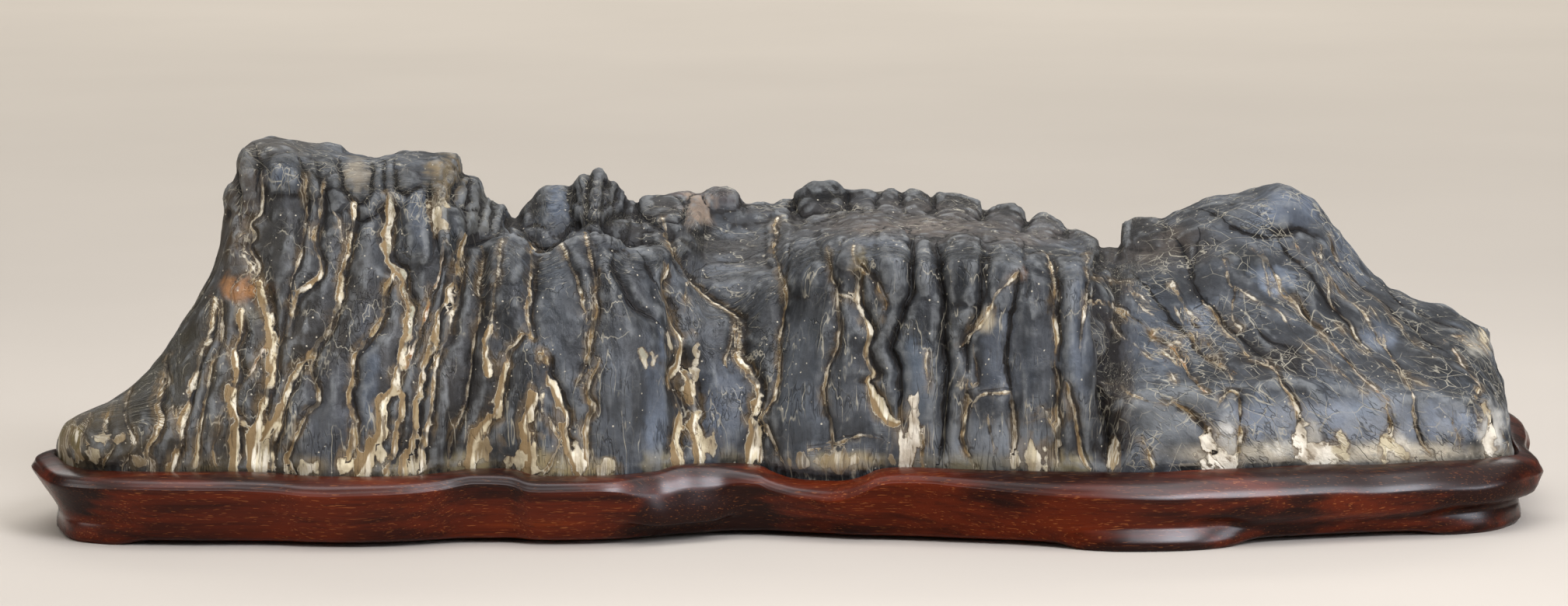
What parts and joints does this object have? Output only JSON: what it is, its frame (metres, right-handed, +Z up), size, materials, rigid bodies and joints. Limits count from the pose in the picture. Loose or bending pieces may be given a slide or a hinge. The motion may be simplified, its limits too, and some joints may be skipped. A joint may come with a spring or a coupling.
{
  "type": "scholar's rock on stand",
  "caption": "Long mountain-range scholar's rock of dark, cream-veined stone, resting in the recess of its low carved hardwood stand.",
  "frame": {"origin": "on the surface the stand's feet rest on, under the centre of the bounding box", "axes": "+X along the length, from the low toe towards the blunt end; -Y is the front, with the ribbed face; +Z up"},
  "size_m": [0.51, 0.1574, 0.128],
  "materials": {
    "stone": "satin, hand-rubbed dark limestone with cream and tan veins",
    "stand": "polished dark rosewood"
  },
  "bodies": {
    "root": {"stone": "stone", "stand": "stand"}
  },
  "joints": []
}
